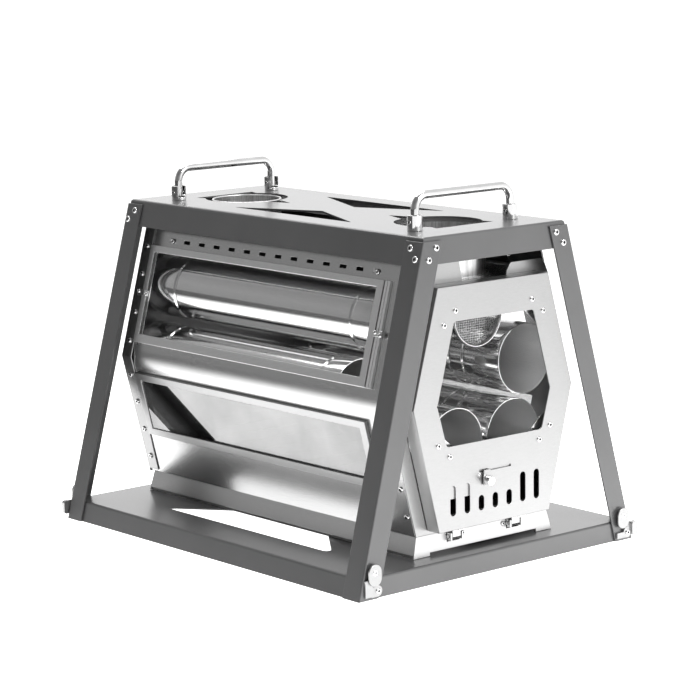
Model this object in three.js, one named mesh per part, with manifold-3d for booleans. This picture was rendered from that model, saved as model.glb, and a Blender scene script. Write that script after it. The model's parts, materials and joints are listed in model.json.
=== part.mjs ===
// Tent stove with glass windows, carried in a splayed steel rack with folding handles.
// Millimetres. +Z is up, -Y is the door side, +X is to the right seen from the door.
// The origin is on the ground, at the middle of the rack's footprint.
import * as THREE from 'three';
import { mergeVertices } from 'three/addons/utils/BufferGeometryUtils.js';
import Module from 'manifold-3d';

const wasm = await Module();
wasm.setup();

// ---------------------------------------------------------------- driving dimensions
const GAP = 0.3;                                   // clearance between neighbouring pieces

const RACK = {
  deckTop: 362, legTop: 357.5,
  footX: 199, footY: 258.7,                        // half width and half length at the ground
  topX: 103.2, topY: 254.5,                        // the same at the top of the legs
  sheet: 2, legWidth: 26.5,
  topFlange: 29, bottomDeckTop: 22.3,
};
const DECK_HOLE = { y: 164, radius: 47.5, flatEnd: 206, wedgeHalf: 41, wedgeTip: 84 };
const DECK_TRIANGLE = { outer: 67.5, apex: 23, half: 102, corner: 0.8 };
const FLOOR_TRIANGLE = { outer: 142, apex: 29, half: 149, corner: 5 };

const HANDLE = {
  x: 68, y: 203, rod: 5, bend: 15, top: 403.5,
  postRadius: 8.3, postHeight: 16, pivot: 9,
};
const CATCH = { x: 180.3, pivotZ: 29, width: 16.6, low: 14.6, high: 37.6, thick: 2 };
const BRACKET = { thick: 2.4, lobeZ: 8.8, lobeRadius: 6, inX: 175, outX: 188.2 };

const STOVE = {
  front: -230, rear: 236, sheet: 1.5,
  lowX: 95, lowZ: 45.3, wideX: 130, wideZ: 185, topZ: 306, wingZ: 337,
  topSlope: 33 / 121,                              // how fast the upper sides lean in
};
const REAR_FLANGE = { depth: 18, sheet: 1.2 };
const FRONT_EAR = { inner: 37, height: 14.5, chamfer: 6, tallInner: 26, tallHeight: 40 };
const MOUTH_INSET = 16;
const VENT = { count: 14, first: 183.4, last: -171.4, length: 11, height: 4, slope: 139 };

const UPPER_WINDOW = { y0: -180, y1: 208, s0: 27.8, s1: 123, rim: [10, 8, 10, 8] };
const LOWER_WINDOW = { y0: -180, y1: 205, s0: 58.8, s1: 118, rim: [10, 9.7, 8.8, 8.6] };
const WINDOW_FRAME = { proud: 4.4, lip: 1, glass: 3, overlap: 4 };

const FLUE = { y: 164, radius: 39.7, wall: 1.2, top: 361.4, flange: 50 };
const POT_RING = { y: -164, radius: 50, wall: 1.2, top: 356, flange: 54 };

const PAN = {
  topZ: 45, topX: 94.5, topY: 229,
  lowZ: 22.7, lowX: 100.3, lowY: 231.5,
  sheet: 1.5, foot: 77,
};
const GRATE = { low: 93.8, high: 95.8, y0: -210, y1: 216, bars: 9, slot: 7 };

const DOOR = {
  face: -249.5, rim: -231, sheet: 1.5,
  lowX: 79.5, lowZ: 50, wideX: 114, wideZ: 184, topX: 79.3, topZ: 308,
  window: { lowX: 68.5, lowZ: 140, wideX: 81.3, wideZ: 184, topX: 57, topZ: 270.6 },
  glass: 4, glassOverlap: 7,
};
const AIR = { pitch: 20.1, width: 8, low: 65.5, shortTop: 82, longTop: 98 };
const DAMPER = {
  low: 83.5, high: 112, x0: -64, x1: 36, sheet: 1.5,
  slitZ: 108, slitHalf: 23, slitHeight: 2.6,
  tabX: -14, tabWidth: 9, tabLow: 92.5, knobZ: 97.5, knobRadius: 5.2,
};
const HINGE = { y: -232, z: 39.5, x: 43, pin: 1.9, bore: 2.15, knuckle: 3.6, notch: 9.2, screwX: 29 };

const PIPE_WALL = 1.2;
const STOWED = [
  { name: 'pipe_short', x: -36, z: 135.6, y0: -228, y1: -136.5, radius: 38.5 },
  { name: 'pipe_lower_right', x: 47, z: 135, y0: -228, y1: 122, radius: 38.5 },
  { name: 'pipe_upper_right', x: 64, z: 214.4, y0: -228, y1: 122, radius: 38.5 },
  { name: 'pipe_lower_left', x: -86, z: 183, y0: -134, y1: 224, radius: 38.5 },
  { name: 'pipe_upper_left', x: -67.5, z: 262, y0: -216, y1: 224, radius: 36.1 },
];
const ARRESTOR = { x: 3.5, z: 268, y0: -221.5, y1: -120, radius: 34.2 };

// ---------------------------------------------------------------- materials
function metal(color, roughness, metalness = 0.9) {
  return new THREE.MeshStandardMaterial({ color, roughness, metalness });
}
const LOOKS = {
  powder: metal(0x6b6c6e, 0.55, 0.25),
  steel: metal(0xc9cacb, 0.35),
  satin: metal(0xe4e4e3, 0.45, 0.7),
  chrome: metal(0xe9eaec, 0.08, 1),
  pipe: metal(0xb9babb, 0.22),
  dark: metal(0x3a3a3b, 0.6, 0.6),
  glass: new THREE.MeshStandardMaterial({
    color: 0xdfe6e6, roughness: 0.03, metalness: 0, transparent: true, opacity: 0.3,
  }),
};

// ---------------------------------------------------------------- solids
function solid(geometry) {
  const plain = geometry.clone();
  plain.deleteAttribute('normal');
  plain.deleteAttribute('uv');
  const merged = mergeVertices(plain, 1e-4);
  return new wasm.Manifold(new wasm.Mesh({
    numProp: 3,
    vertProperties: new Float32Array(merged.attributes.position.array),
    triVerts: new Uint32Array(merged.index.array),
  }));
}

function geometryOf(manifold) {
  const mesh = manifold.getMesh();
  const geometry = new THREE.BufferGeometry();
  geometry.setAttribute('position', new THREE.BufferAttribute(mesh.vertProperties, 3));
  geometry.setIndex(new THREE.BufferAttribute(mesh.triVerts, 1));
  geometry.computeVertexNormals();
  return geometry;
}

function cut(body, ...tools) {
  return tools.reduce((left, tool) => left.subtract(tool), body);
}

function join(body, ...others) {
  return others.reduce((sum, other) => sum.add(other), body);
}

function box(x0, x1, y0, y1, z0, z1) {
  const geometry = new THREE.BoxGeometry(x1 - x0, y1 - y0, z1 - z0);
  return solid(geometry.translate((x0 + x1) / 2, (y0 + y1) / 2, (z0 + z1) / 2));
}

// A box whose half width and half length change from its lower to its upper face.
function frustum(low, high) {
  const geometry = new THREE.BoxGeometry(2, 2, 2);
  const position = geometry.attributes.position;
  for (let i = 0; i < position.count; i += 1) {
    const end = position.getZ(i) < 0 ? low : high;
    position.setXYZ(i, position.getX(i) * end.x, position.getY(i) * end.y, end.z);
  }
  return solid(geometry);
}

function outline(points) {
  return new THREE.Shape(points.map(([x, y]) => new THREE.Vector2(x, y)));
}

// An outline with every corner rounded to the same radius.
function roundedOutline(points, radius, segments = 3) {
  const corners = points.map(([x, y]) => new THREE.Vector2(x, y));
  const rounded = [];
  corners.forEach((corner, i) => {
    const before = corners[(i + corners.length - 1) % corners.length].clone().sub(corner).normalize();
    const after = corners[(i + 1) % corners.length].clone().sub(corner).normalize();
    const half = Math.acos(before.dot(after)) / 2;
    const between = before.clone().add(after).normalize();
    const centre = between.multiplyScalar(radius / Math.sin(half)).add(corner);
    const start = before.multiplyScalar(radius / Math.tan(half)).add(corner).sub(centre);
    const end = after.multiplyScalar(radius / Math.tan(half)).add(corner).sub(centre);
    const sweep = Math.atan2(start.cross(end), start.dot(end));
    for (let k = 0; k <= segments; k += 1) {
      const turned = start.clone().rotateAround(new THREE.Vector2(), (sweep * k) / segments);
      rounded.push(turned.add(centre).toArray());
    }
  });
  return rounded;
}

function disc(x, y, radius, segments = 48) {
  const circle = new THREE.EllipseCurve(x, y, radius, radius, 0, 2 * Math.PI);
  return new THREE.Shape(circle.getPoints(segments).slice(0, -1));
}

function extruded(shape, depth) {
  return new THREE.ExtrudeGeometry(shape, { depth, bevelEnabled: false, curveSegments: 12 });
}

// A shape drawn in X and Y, standing between two heights.
function slab(shape, z0, z1) {
  return solid(extruded(shape, z1 - z0).translate(0, 0, z0));
}

// A shape drawn in X and Z, standing between two planes of Y.
function upright(shape, y0, y1) {
  return solid(extruded(shape, y1 - y0).rotateX(Math.PI / 2).translate(0, y1, 0));
}

function rodX(x0, x1, y, z, radius, segments = 20) {
  const geometry = new THREE.CylinderGeometry(radius, radius, x1 - x0, segments);
  return solid(geometry.rotateZ(Math.PI / 2).translate((x0 + x1) / 2, y, z));
}

function rodY(x, y0, y1, z, radius, segments = 20) {
  const geometry = new THREE.CylinderGeometry(radius, radius, y1 - y0, segments);
  return solid(geometry.translate(x, (y0 + y1) / 2, z));
}

// A ring turned around a vertical axis from a closed profile of [radius, height].
function turned(profile, x, y, segments = 40) {
  const points = [...profile, profile[0]].map(([r, z]) => new THREE.Vector2(r, z));
  return solid(new THREE.LatheGeometry(points, segments).rotateX(Math.PI / 2).translate(x, y, 0));
}

function mirroredX(manifold) {
  const geometry = geometryOf(manifold).scale(-1, 1, 1);
  const index = geometry.index.array;
  for (let i = 0; i < index.length; i += 3) [index[i], index[i + 1]] = [index[i + 1], index[i]];
  return solid(geometry);
}

function mirroredY(manifold) {
  const geometry = geometryOf(manifold).scale(1, -1, 1);
  const index = geometry.index.array;
  for (let i = 0; i < index.length; i += 3) [index[i], index[i + 1]] = [index[i + 1], index[i]];
  return solid(geometry);
}

// The same convex outline moved inwards by a distance, for outlines that run anticlockwise.
function inset(points, distance) {
  const count = points.length;
  const lines = points.map(([x, y], i) => {
    const [nx, ny] = points[(i + 1) % count];
    const length = Math.hypot(nx - x, ny - y);
    const normal = [-(ny - y) / length, (nx - x) / length];
    return { normal, offset: normal[0] * x + normal[1] * y + distance };
  });
  return lines.map((line, i) => {
    const last = lines[(i + count - 1) % count];
    const det = last.normal[0] * line.normal[1] - last.normal[1] * line.normal[0];
    return [
      (last.offset * line.normal[1] - line.offset * last.normal[1]) / det,
      (line.offset * last.normal[0] - last.offset * line.normal[0]) / det,
    ];
  });
}

function hexagon({ lowX, lowZ, wideX, wideZ, topX, topZ }) {
  return [[-lowX, lowZ], [lowX, lowZ], [wideX, wideZ], [topX, topZ], [-topX, topZ], [-wideX, wideZ]];
}

// ---------------------------------------------------------------- the rack
function rackX(z) {
  return RACK.footX - ((RACK.footX - RACK.topX) * z) / RACK.legTop;
}

function rackY(z) {
  return RACK.footY - ((RACK.footY - RACK.topY) * z) / RACK.legTop;
}

function leg(sideX, sideY) {
  const t = RACK.sheet;
  const w = RACK.legWidth;
  const angle = [[0, 0], [-w, 0], [-w, -t], [-t, -t], [-t, -w], [0, -w]];
  const geometry = extruded(outline(angle), RACK.legTop).translate(RACK.footX, RACK.footY, 0);
  const leanX = (RACK.topX - RACK.footX) / RACK.legTop;
  const leanY = (RACK.topY - RACK.footY) / RACK.legTop;
  geometry.applyMatrix4(new THREE.Matrix4().set(1, 0, leanX, 0, 0, 1, leanY, 0, 0, 0, 1, 0, 0, 0, 0, 1));
  const body = solid(geometry);
  const sided = sideX < 0 ? mirroredX(body) : body;
  return sideY < 0 ? mirroredY(sided) : sided;
}

// A folded tray with its flanges hanging down along the legs, open underneath.
function tray(z0, z1) {
  const edge = RACK.sheet + GAP;
  const face = (z, offset) => ({ x: rackX(z) - offset, y: rackY(z) - offset, z });
  const outer = frustum(face(z0, edge), face(z1, edge));
  const hollow = frustum(
    { ...face(z0, edge + RACK.sheet), z: z0 - 1 },
    { ...face(z1, edge + RACK.sheet), z: z1 - RACK.sheet },
  );
  return outer.subtract(hollow);
}

function sideTriangles(size, z0, z1) {
  const points = [[size.outer, -size.half], [size.outer, size.half], [size.apex, 0]];
  const right = slab(outline(roundedOutline(points, size.corner)), z0, z1);
  return [right, mirroredX(right)];
}

// The end openings of the top deck: a round hole joined to a wedge that points to the middle.
function endOpening(side) {
  const { y, radius, flatEnd, wedgeHalf, wedgeTip } = DECK_HOLE;
  const z0 = RACK.deckTop - 6;
  const z1 = RACK.deckTop + 2;
  const round = slab(disc(0, y, radius), z0, z1);
  const clip = box(-radius, radius, 0, flatEnd, z0 - 1, z1 + 1);
  const wedge = slab(outline([[0, wedgeTip], [wedgeHalf, flatEnd], [-wedgeHalf, flatEnd]]), z0, z1);
  const opening = round.intersect(clip).add(wedge);
  return side < 0 ? mirroredY(opening) : opening;
}

function topDeck() {
  const z0 = RACK.deckTop - 6;
  const z1 = RACK.deckTop + 2;
  const body = tray(RACK.deckTop - RACK.topFlange, RACK.deckTop);
  return cut(body, ...sideTriangles(DECK_TRIANGLE, z0, z1), endOpening(1), endOpening(-1));
}

function bottomDeck() {
  const top = RACK.bottomDeckTop;
  return cut(tray(0, top), ...sideTriangles(FLOOR_TRIANGLE, top - 6, top + 2));
}

// A folded plate at the foot of each leg: a round lobe with a tall step towards the outside.
function stepBracket() {
  const { thick, lobeZ, lobeRadius, inX } = BRACKET;
  const y0 = rackY(2) + GAP;
  const lobe = rodY(inX, y0, y0 + thick - 0.7, lobeZ, lobeRadius);
  const bridge = box(inX, 183, y0, y0 + thick - 0.7, lobeZ - lobeRadius, lobeZ + 5);
  const step = box(182, 191.8, y0, y0 + thick, 3.6, 21.5);
  return join(lobe, bridge, step);
}

// The same foot plate with its lobe outside and a thumb tab that reaches past the leg.
function tabBracket() {
  const { thick, lobeZ, lobeRadius, outX } = BRACKET;
  const y0 = rackY(2) + GAP;
  const lobe = rodY(outX, y0, y0 + thick, lobeZ, lobeRadius);
  const strip = box(172.6, outX, y0, y0 + thick, 3.2, 9.6);
  const web = box(184.5, 195, y0, y0 + thick - 0.4, lobeZ, 20.3);
  const corners = [[193.2, 4.8], [202.4, 4.8], [202.4, 20.3], [193.2, 20.3]];
  const tab = upright(outline(roundedOutline(corners, 3)), y0, y0 + thick + 2.6);
  return join(lobe, strip, web, tab);
}

function cornerBracket(sideX, sideY) {
  const body = sideX * sideY < 0 ? tabBracket() : stepBracket();
  const sided = sideX < 0 ? mirroredX(body) : body;
  return sideY < 0 ? mirroredY(sided) : sided;
}

// The oblong catch that hangs from its upper screw and covers the bracket.
function turnCatch(sideX, sideY) {
  const { x, pivotZ, width, low, high, thick } = CATCH;
  const inner = rackY(low) + 2 * GAP + BRACKET.thick;
  const half = width / 2;
  const points = [[x - half, low], [x + half, low], [x + half, high], [x - half, high]];
  const plate = upright(outline(roundedOutline(points, half - 0.2, 6)), inner, inner + thick);
  const boss = rodY(x, rackY(pivotZ - 5) + GAP, inner + 0.5, pivotZ, 4, 16);
  const body = plate.add(boss);
  const sided = sideX < 0 ? mirroredX(body) : body;
  return sideY < 0 ? mirroredY(sided) : sided;
}

// ---------------------------------------------------------------- folding handles
class HandlePath extends THREE.Curve {
  constructor(half, low, high, bend) {
    super();
    const arc = (Math.PI / 2) * bend;
    this.parts = [
      { length: high - low - bend, at: (d) => [-half, low + d] },
      { length: arc, at: (d) => this.bendAt(-half + bend, high - bend, Math.PI - d / bend, bend) },
      { length: 2 * (half - bend), at: (d) => [-half + bend + d, high] },
      { length: arc, at: (d) => this.bendAt(half - bend, high - bend, Math.PI / 2 - d / bend, bend) },
      { length: high - low - bend, at: (d) => [half, high - bend - d] },
    ];
    this.total = this.parts.reduce((sum, part) => sum + part.length, 0);
  }

  bendAt(x, z, angle, bend) {
    return [x + bend * Math.cos(angle), z + bend * Math.sin(angle)];
  }

  getPoint(t, target = new THREE.Vector3()) {
    let d = t * this.total;
    let i = 0;
    while (i < this.parts.length - 1 && d > this.parts[i].length) {
      d -= this.parts[i].length;
      i += 1;
    }
    const [x, z] = this.parts[i].at(d);
    return target.set(x, 0, z);
  }
}

const HANDLE_PIVOT_Z = RACK.deckTop + GAP + HANDLE.pivot;

function handleBar(side) {
  const path = new HandlePath(HANDLE.x, HANDLE_PIVOT_Z, HANDLE.top - HANDLE.rod, HANDLE.bend);
  const section = disc(0, 0, HANDLE.rod, 12);
  const settings = { steps: 30, extrudePath: path, bevelEnabled: false };
  const rod = solid(new THREE.ExtrudeGeometry(section, settings));
  const ends = [-1, 1].map((end) => {
    const ball = new THREE.SphereGeometry(HANDLE.rod - 0.2, 12, 8);
    return solid(ball.translate(end * HANDLE.x, 0, HANDLE_PIVOT_Z));
  });
  const pins = [-1, 1].map((end) => {
    const reach = HANDLE.postRadius + 0.2;
    return rodX(end * HANDLE.x - reach, end * HANDLE.x + reach, 0, HANDLE_PIVOT_Z, 2, 14);
  });
  return solid(geometryOf(join(rod, ...ends, ...pins)).translate(0, side * HANDLE.y, 0));
}

// A round post with a slot that lets the rod swing from upright to flat, towards the middle.
function handlePost(sideX, sideY) {
  const x = sideX * HANDLE.x;
  const z0 = RACK.deckTop + GAP;
  const z1 = z0 + HANDLE.postHeight;
  const r = HANDLE.postRadius;
  const barrel = slab(disc(x, HANDLE.y, r, 24), z0, z1);
  const slotHalf = HANDLE.rod + 0.35;
  const floor = z0 + HANDLE.pivot - HANDLE.rod - 0.5;
  const slot = box(x - slotHalf, x + slotHalf, HANDLE.y - r - 1, HANDLE.y + slotHalf, floor, z1 + 1);
  const bore = rodX(x - r - 1, x + r + 1, HANDLE.y, HANDLE_PIVOT_Z, 2.25, 14);
  const body = cut(barrel, slot, bore);
  return sideY < 0 ? mirroredY(body) : body;
}

// ---------------------------------------------------------------- the stove's shell
const BODY = hexagon({ ...STOVE, topX: STOVE.wideX - STOVE.topSlope * (STOVE.topZ - STOVE.wideZ) });

// Points of the right side's outer face, from the floor to the top of the slotted wing.
const SIDE_LINE = [
  [STOVE.lowX, STOVE.lowZ],
  [STOVE.wideX, STOVE.wideZ],
  [STOVE.wideX - STOVE.topSlope * (STOVE.wingZ - STOVE.wideZ), STOVE.wingZ],
];

// A local frame on one slope of the right side: along Y, up the slope, and outwards.
function slopeMatrix(upper) {
  const [from, to] = upper ? [SIDE_LINE[1], SIDE_LINE[2]] : [SIDE_LINE[0], SIDE_LINE[1]];
  const along = new THREE.Vector3(0, 1, 0);
  const up = new THREE.Vector3(to[0] - from[0], 0, to[1] - from[1]).normalize();
  const out = new THREE.Vector3().crossVectors(along, up);
  return new THREE.Matrix4().makeBasis(along, up, out).setPosition(from[0], 0, from[1]);
}

function slopeBox(upper, y0, y1, s0, s1, n0, n1) {
  const geometry = new THREE.BoxGeometry(y1 - y0, s1 - s0, n1 - n0);
  geometry.translate((y0 + y1) / 2, (s0 + s1) / 2, (n0 + n1) / 2);
  return solid(geometry.applyMatrix4(slopeMatrix(upper)));
}

function sidePanel() {
  const t = STOVE.sheet;
  const [low, wide, top] = SIDE_LINE;
  const thick = t / Math.cos(Math.atan(STOVE.topSlope));
  const section = [
    low, wide, top,
    [top[0] - thick, top[1]], [wide[0] - thick, wide[1]], [low[0] - thick + t / 4, low[1] + t],
    [low[0] - 12, low[1] + t], [low[0] - 12, low[1]],
  ];
  const body = upright(outline(section), STOVE.front + t + GAP, STOVE.rear - t - GAP);
  const opening = (upper, { y0, y1, s0, s1 }) => slopeBox(upper, y0, y1, s0, s1, -8, 8);
  const vents = Array.from({ length: VENT.count }, (_, i) => {
    const y = VENT.first + ((VENT.last - VENT.first) * i) / (VENT.count - 1);
    const halfLength = VENT.length / 2;
    const halfHeight = VENT.height / 2;
    const low = VENT.slope - halfHeight;
    const high = VENT.slope + halfHeight;
    return slopeBox(true, y - halfLength, y + halfLength, low, high, -8, 8);
  });
  return cut(body, opening(true, UPPER_WINDOW), opening(false, LOWER_WINDOW), ...vents);
}

function windowFrame(upper, { y0, y1, s0, s1, rim }) {
  const { proud, lip, glass, overlap } = WINDOW_FRAME;
  const [front, rear, below, above] = rim;
  const outer = slopeBox(upper, y0 - front, y1 + rear, s0 - below, s1 + above, GAP, proud);
  const pocket = overlap + GAP;
  const depth = GAP + glass + GAP / 2;
  const seat = slopeBox(upper, y0 - pocket, y1 + pocket, s0 - pocket, s1 + pocket, -1, depth);
  const sight = slopeBox(upper, y0, y1, s0, s1, 0, proud + lip);
  return cut(outer, seat, sight);
}

function windowGlass(upper, { y0, y1, s0, s1 }) {
  const { glass, overlap } = WINDOW_FRAME;
  return slopeBox(upper, y0 - overlap, y1 + overlap, s0 - overlap, s1 + overlap, GAP, GAP + glass);
}

function rearPanel() {
  const sheet = REAR_FLANGE.sheet;
  const y1 = STOVE.rear;
  const wing = { ...STOVE, topZ: STOVE.wingZ + GAP };
  const around = hexagon({ ...wing, topX: STOVE.wideX - STOVE.topSlope * (wing.topZ - STOVE.wideZ) });
  const outer = upright(outline(inset(around, -(GAP + sheet))), y1 - REAR_FLANGE.depth, y1);
  const hollow = upright(outline(inset(around, -GAP)), y1 - REAR_FLANGE.depth - 1, y1 - STOVE.sheet);
  // The flat floor passes through this opening.
  const below = box(-200, 200, y1 - REAR_FLANGE.depth - 1, y1 - STOVE.sheet, 0, STOVE.lowZ + 2);
  return cut(outer, hollow, below);
}

function frontFrame() {
  const t = STOVE.sheet;
  const y0 = STOVE.front;
  const plate = upright(outline(BODY), y0, y0 + t);
  const topX = BODY[3][0];
  const { inner, height, chamfer } = FRONT_EAR;
  const earOuter = topX - STOVE.topSlope * height;
  const earTop = STOVE.topZ + height;
  const earPoints = [
    [inner, STOVE.topZ - 4], [topX, STOVE.topZ - 4], [topX, STOVE.topZ],
    [earOuter, earTop - chamfer], [earOuter - chamfer, earTop],
    [inner + chamfer, earTop], [inner, earTop - 1.4 * chamfer],
  ];
  const ear = upright(outline(earPoints), y0, y0 + t);
  const { tallInner, tallHeight } = FRONT_EAR;
  const tallTop = STOVE.topZ + tallHeight;
  const tallPoints = [
    [-topX, STOVE.topZ - 4], [-tallInner, STOVE.topZ - 4], [-tallInner - 0.22 * tallHeight, tallTop],
    [-topX + STOVE.topSlope * tallHeight, tallTop], [-topX, STOVE.topZ],
  ];
  const tallEar = upright(outline(tallPoints), y0, y0 + t);
  const seat = t + GAP;
  const collar = upright(outline(inset(BODY, seat)), y0, y0 + 16);
  const hollow = upright(outline(inset(BODY, seat + t)), y0 - 1, y0 + 17);
  const mouth = upright(outline(inset(BODY, MOUTH_INSET)), y0 - 1, y0 + t + 1);
  const ring = upright(outline(inset(BODY, seat + t)), y0, y0 + t);
  return cut(join(plate, ear, tallEar, cut(collar, hollow), ring), mouth);
}

function topPlate() {
  const z1 = STOVE.topZ;
  const z0 = z1 - STOVE.sheet;
  const half = STOVE.wideX - STOVE.topSlope * (z1 - STOVE.wideZ) - STOVE.sheet - 2 * GAP - 0.4;
  const y0 = STOVE.front + STOVE.sheet + GAP;
  const y1 = STOVE.rear - STOVE.sheet - GAP;
  const body = box(-half, half, y0, y1, z0 + 0.1, z1);
  return cut(body, slab(disc(0, FLUE.y, FLUE.radius - 1.5), z0 - 5, z1 + 5));
}

function collarRing({ y, radius, wall, top, flange }) {
  const base = STOVE.topZ + GAP;
  return turned([
    [radius - wall, base], [flange, base], [flange, base + 1.5], [radius, base + 1.5], [radius, top],
    [radius - wall, top],
  ], 0, y);
}

// ---------------------------------------------------------------- floor, pan and grate
function basePan() {
  const t = PAN.sheet;
  const outer = frustum(
    { x: PAN.lowX, y: PAN.lowY, z: PAN.lowZ },
    { x: PAN.topX, y: PAN.topY, z: PAN.topZ },
  );
  const hollow = frustum(
    { x: PAN.lowX - t, y: PAN.lowY - t, z: PAN.lowZ - 1 },
    { x: PAN.topX - t, y: PAN.topY - t, z: PAN.topZ - t },
  );
  const footTop = PAN.lowZ + 3.6;
  const ends = box(-PAN.foot, PAN.foot, -300, 300, PAN.lowZ - 2, footTop);
  const sides = box(-300, 300, -PAN.lowY + t + 0.5, PAN.lowY - t - 0.5, PAN.lowZ - 2, PAN.lowZ + 3.2);
  const notches = [-1, 1].map((side) => {
    const x = side * HINGE.x;
    return box(x - HINGE.notch, x + HINGE.notch, -300, -PAN.topY + 3, HINGE.z - 6, PAN.topZ + 1);
  });
  return cut(outer, hollow, ends, sides, ...notches);
}

function grate() {
  const { low, high, y0, y1, bars, slot } = GRATE;
  const rise = (STOVE.wideX - STOVE.lowX) / (STOVE.wideZ - STOVE.lowZ);
  const half = STOVE.lowX + rise * (low - STOVE.lowZ) - STOVE.sheet - 2 * GAP - 0.4;
  const body = box(-half, half, y0, y1, low, high);
  const pitch = (y1 - y0) / (bars + 1);
  const slots = Array.from({ length: bars }, (_, i) => {
    const y = y0 + pitch * (i + 1);
    return box(-half + 18, half - 18, y - slot / 2, y + slot / 2, low - 1, high + 1);
  });
  return cut(body, ...slots);
}

// ---------------------------------------------------------------- the door
function airSlot(x, top) {
  const half = AIR.width / 2;
  const points = [[x - half, AIR.low], [x + half, AIR.low], [x + half, top], [x - half, top]];
  return upright(outline(roundedOutline(points, half - 0.05, 3)), DOOR.face - 2, DOOR.face + 4);
}

function doorPan() {
  const shape = hexagon(DOOR);
  const t = DOOR.sheet;
  const outer = upright(outline(shape), DOOR.face, DOOR.rim);
  const hollow = upright(outline(inset(shape, t)), DOOR.face + t, DOOR.rim + 1);
  const sight = upright(outline(roundedOutline(hexagon(DOOR.window), 4)), DOOR.face - 2, DOOR.face + 4);
  const slots = [-3, -2, -1, 0, 1, 2, 3].map((i) => {
    return airSlot(i * AIR.pitch, Math.abs(i) > 1 ? AIR.longTop : AIR.shortTop);
  });
  const { slitHalf, slitZ, slitHeight } = DAMPER;
  const slitLow = slitZ - slitHeight / 2;
  const slit = box(-slitHalf, slitHalf, DOOR.face - 2, DOOR.face + 4, slitLow, slitLow + slitHeight);
  return cut(outer, hollow, sight, slit, ...slots);
}

const DOOR_INSIDE = DOOR.face + DOOR.sheet + GAP;

function doorGlass() {
  const shape = inset(hexagon(DOOR.window), -DOOR.glassOverlap);
  return upright(outline(shape), DOOR_INSIDE, DOOR_INSIDE + DOOR.glass);
}

// A plate across one corner of the glass, standing on two spacers at the door's screws.
function glassClip([xa, za], [xb, zb]) {
  const back = DOOR_INSIDE + DOOR.glass + GAP;
  const middle = new THREE.Vector2((xa + xb) / 2, (za + zb) / 2);
  const along = new THREE.Vector2(xb - xa, zb - za).normalize();
  const inward = new THREE.Vector2(-along.y, along.x);
  const target = new THREE.Vector2(0, (DOOR.window.lowZ + DOOR.window.topZ) / 2).sub(middle);
  if (inward.dot(target) < 0) inward.negate();
  const reach = new THREE.Vector2(xb - xa, zb - za).length() / 2 + 4.5;
  const corner = (a, b) => middle.clone().addScaledVector(along, a).addScaledVector(inward, b).toArray();
  const points = [corner(-reach, -4.5), corner(reach, -4.5), corner(reach, 13), corner(-reach, 13)];
  const shape = roundedOutline(points, 3);
  const plate = upright(outline(shape), back, back + 1.5);
  const spacers = [[xa, za], [xb, zb]].map(([x, z]) => rodY(x, DOOR_INSIDE, back + 0.5, z, 2.6, 12));
  return join(plate, ...spacers);
}

const CLIP_SCREWS = {
  door_clip_top_left: [[-55, 282], [-71, 268]],
  door_clip_top_right: [[55, 282], [71, 268]],
  door_clip_bottom_left: [[-80.7, 143], [-64.5, 129.3]],
  door_clip_bottom_right: [[80.7, 143], [64.5, 129.3]],
};

// The sliding air plate, with a tab that passes through the slit and hangs down in front.
function damperPlate() {
  const { low, high, x0, x1, sheet, slitZ, tabX, tabWidth, tabLow, knobZ } = DAMPER;
  const plate = box(x0, x1, DOOR_INSIDE, DOOR_INSIDE + sheet, low, high);
  const front = DOOR.face - 3;
  const half = tabWidth / 2;
  const bridge = box(tabX - half, tabX + half, front, DOOR_INSIDE + sheet, slitZ - 0.75, slitZ + 0.75);
  const tab = box(tabX - half, tabX + half, front, front + sheet, tabLow, slitZ + 0.75);
  const bore = rodY(tabX, front - 1, front + sheet + 0.5, knobZ, 2.3, 14);
  return cut(join(plate, bridge, tab), bore);
}

function damperKnob() {
  const { tabX, knobZ, knobRadius } = DAMPER;
  const front = DOOR.face - 3;
  const head = rodY(tabX, front - GAP - 6.5, front - GAP, knobZ, knobRadius, 24);
  const stem = rodY(tabX, front - 1, front + 2.2, knobZ, 2, 14);
  return head.add(stem);
}

function damperGuide() {
  const { high, sheet } = DAMPER;
  const back = DOOR_INSIDE + sheet + GAP;
  const spacer = box(-68, 68, DOOR_INSIDE, back + 1.2, high + GAP, high + 6);
  const lip = box(-68, 68, back, back + 1.2, high - 2.6, high + 6);
  return spacer.add(lip);
}

// ---------------------------------------------------------------- the door's hinges
function hingeBracket(side) {
  const x = side * HINGE.x;
  const inner = -PAN.topY + PAN.sheet + GAP + 0.9;
  const screwEdge = side * (HINGE.screwX - 6);
  const farEdge = x + side * 13;
  const z0 = HINGE.z - 6.5;
  const z1 = PAN.topZ - PAN.sheet - GAP;
  const x0 = Math.min(screwEdge, farEdge);
  const x1 = Math.max(screwEdge, farEdge);
  const plate = box(x0, x1, inner, inner + 1.5, z0, z1);
  const ears = [-7.7, 7.7].map((offset) => {
    const middle = x + offset;
    return box(middle - 0.8, middle + 0.8, HINGE.y - 4.2, inner + 1, HINGE.z - 4.2, HINGE.z + 3.8);
  });
  return cut(join(plate, ...ears), rodX(x - 12, x + 12, HINGE.y, HINGE.z, HINGE.bore, 16));
}

function hingePin(side) {
  const x = side * HINGE.x;
  return rodX(x - 9.4, x + 9.4, HINGE.y, HINGE.z, HINGE.pin, 16);
}

// The curled lug that carries the door: a leaf under the door's lower flange and a knuckle.
function doorLug(side) {
  const x = side * HINGE.x;
  const top = DOOR.lowZ - GAP;
  const leaf = box(x - 5.5, x + 5.5, DOOR.face + 4, DOOR.rim - 0.5, top - 1.5, top);
  const front = HINGE.y - HINGE.knuckle;
  const web = box(x - 5.5, x + 5.5, front, front + 1.4, HINGE.z, top);
  const knuckle = rodX(x - 5.5, x + 5.5, HINGE.y, HINGE.z, HINGE.knuckle, 20);
  return cut(join(leaf, web, knuckle), rodX(x - 7, x + 7, HINGE.y, HINGE.z, HINGE.bore, 16));
}

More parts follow.
